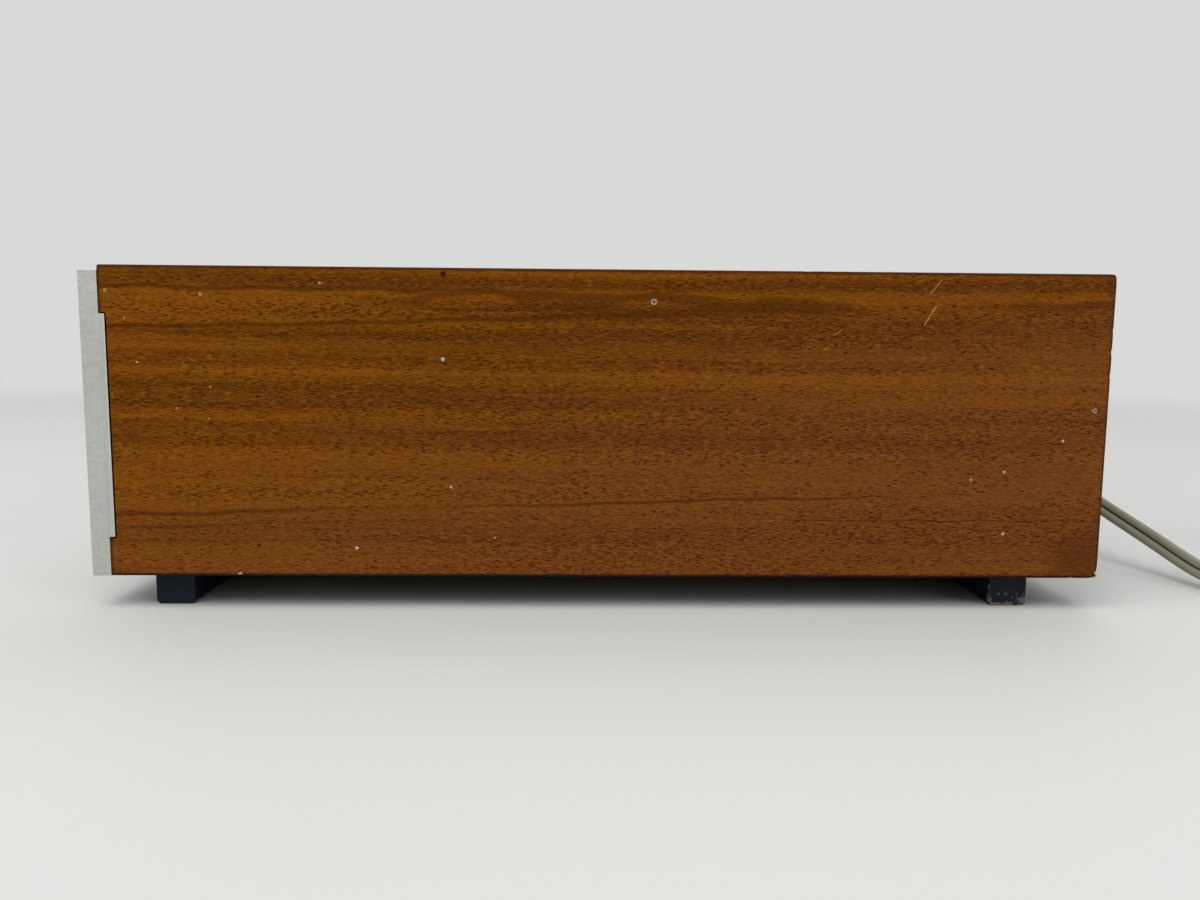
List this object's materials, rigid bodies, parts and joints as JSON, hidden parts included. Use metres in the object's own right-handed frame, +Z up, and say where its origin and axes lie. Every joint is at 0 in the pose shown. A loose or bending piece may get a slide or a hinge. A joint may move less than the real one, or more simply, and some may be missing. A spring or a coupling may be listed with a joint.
{
  "type": "stereo amplifier",
  "caption": "Slim stereo amplifier: veneered wooden cabinet on black runners, thick aluminium front with dials and push keys, rear sockets and a flat twin mains cord.",
  "frame": {"origin": "middle of the underside of the feet, without the mains cord", "axes": "+Z up, the front panel faces -Y, +X to the right seen from the front"},
  "size_m": [0.4046, 0.4203, 0.089],
  "materials": {
    "veneer": "satin varnished veneer",
    "board_wood": "plain board",
    "black_paint_wood": "worn black paint",
    "grille_steel": "matt black",
    "panel_aluminium": "satin anodised",
    "zinc_steel": "zinc plated",
    "control_metal": "passivated",
    "black_steel": "matt black",
    "core_iron": "lacquered laminations",
    "winding_tape": "varnished tape",
    "can_sleeve": "sleeved can",
    "circuit_laminate": "paper laminate",
    "small_parts": "mixed small parts",
    "sink_aluminium": "black anodised",
    "black_plastic": "moulded",
    "lamp_holder": "moulded",
    "pilot_amber": "clear amber",
    "cord_grey": "soft grey flex",
    "tie_black": "plain band"
  },
  "bodies": {
    "cabinet": {"cabinet_side_left": "veneer", "cabinet_side_right": "veneer", "cabinet_top": "veneer", "top_rear_batten": "veneer", "cabinet_bottom": "board_wood", "front_foot_rail": "black_paint_wood", "rear_foot_rail": "black_paint_wood", "vent_grille": "grille_steel", "front_panel": "panel_aluminium", "chassis_base": "zinc_steel", "chassis_front": "zinc_steel", "transformer_clamp": "zinc_steel", "rear_panel_screws": "zinc_steel", "chassis_bolts": "zinc_steel", "foot_rail_screws": "zinc_steel", "panel_nuts": "zinc_steel", "output_transistors": "zinc_steel", "board_standoffs": "zinc_steel", "source_switch": "control_metal", "bass_control": "control_metal", "treble_control": "control_metal", "balance_control": "control_metal", "volume_control": "control_metal", "rear_panel": "black_steel", "transformer_core": "core_iron", "transformer_bobbin": "winding_tape", "filter_capacitors": "can_sleeve", "amplifier_board": "circuit_laminate", "board_components": "small_parts", "heat_sink": "sink_aluminium", "switch_bank": "black_plastic", "power_switch": "black_plastic", "headphone_jack": "black_plastic", "input_sockets": "black_plastic", "speaker_sockets": "black_plastic", "fuse_holder": "black_plastic", "mains_plug": "black_plastic", "pilot_lamp": "lamp_holder", "pilot_lens": "pilot_amber", "strain_relief": "cord_grey", "mains_cord_run": "cord_grey", "mains_cord_coil": "cord_grey", "mains_cord_tail": "cord_grey", "cord_tie": "tie_black"},
    "source_dial": {"source_knob": "panel_aluminium", "source_shaft": "zinc_steel"},
    "bass_dial": {"bass_knob": "panel_aluminium", "bass_shaft": "zinc_steel"},
    "treble_dial": {"treble_knob": "panel_aluminium", "treble_shaft": "zinc_steel"},
    "balance_dial": {"balance_knob": "panel_aluminium", "balance_shaft": "zinc_steel"},
    "volume_dial": {"volume_knob": "panel_aluminium", "volume_shaft": "zinc_steel"},
    "mono_key": {"mono_button": "panel_aluminium"},
    "loudness_key": {"loudness_button": "panel_aluminium"},
    "filter_key": {"filter_button": "panel_aluminium"},
    "power_key": {"power_button": "panel_aluminium"},
    "fuse_carrier": {"fuse_cap": "black_plastic"}
  },
  "joints": [
    {"name": "source_turn", "type": "hinge", "parent": "cabinet", "child": "source_dial", "pos_m": [-0.10122, -0.13, 0.048], "axis": [0, 1, 0], "range_deg": [-60, 60]},
    {"name": "bass_turn", "type": "hinge", "parent": "cabinet", "child": "bass_dial", "pos_m": [0.00285, -0.13, 0.048], "axis": [0, 1, 0], "range_deg": [-150, 150]},
    {"name": "treble_turn", "type": "hinge", "parent": "cabinet", "child": "treble_dial", "pos_m": [0.04439, -0.13, 0.048], "axis": [0, 1, 0], "range_deg": [-150, 150]},
    {"name": "balance_turn", "type": "hinge", "parent": "cabinet", "child": "balance_dial", "pos_m": [0.08593, -0.13, 0.048], "axis": [0, 1, 0], "range_deg": [-150, 150]},
    {"name": "volume_turn", "type": "hinge", "parent": "cabinet", "child": "volume_dial", "pos_m": [0.12746, -0.13, 0.048], "axis": [0, 1, 0], "range_deg": [-150, 150]},
    {"name": "mono_press", "type": "slide", "parent": "cabinet", "child": "mono_key", "axis": [0, 1, 0], "range_m": [0, 0.0035], "stiffness_N_per_m": 500},
    {"name": "loudness_press", "type": "slide", "parent": "cabinet", "child": "loudness_key", "axis": [0, 1, 0], "range_m": [0, 0.0035], "stiffness_N_per_m": 500},
    {"name": "filter_press", "type": "slide", "parent": "cabinet", "child": "filter_key", "axis": [0, 1, 0], "range_m": [0, 0.0035], "stiffness_N_per_m": 500},
    {"name": "power_press", "type": "slide", "parent": "cabinet", "child": "power_key", "axis": [0, 1, 0], "range_m": [0, 0.0035], "stiffness_N_per_m": 500},
    {"name": "fuse_turn", "type": "hinge", "parent": "cabinet", "child": "fuse_carrier", "pos_m": [0.005, 0.125, 0.048], "axis": [0, 1, 0], "range_deg": [0, 60]}
  ]
}
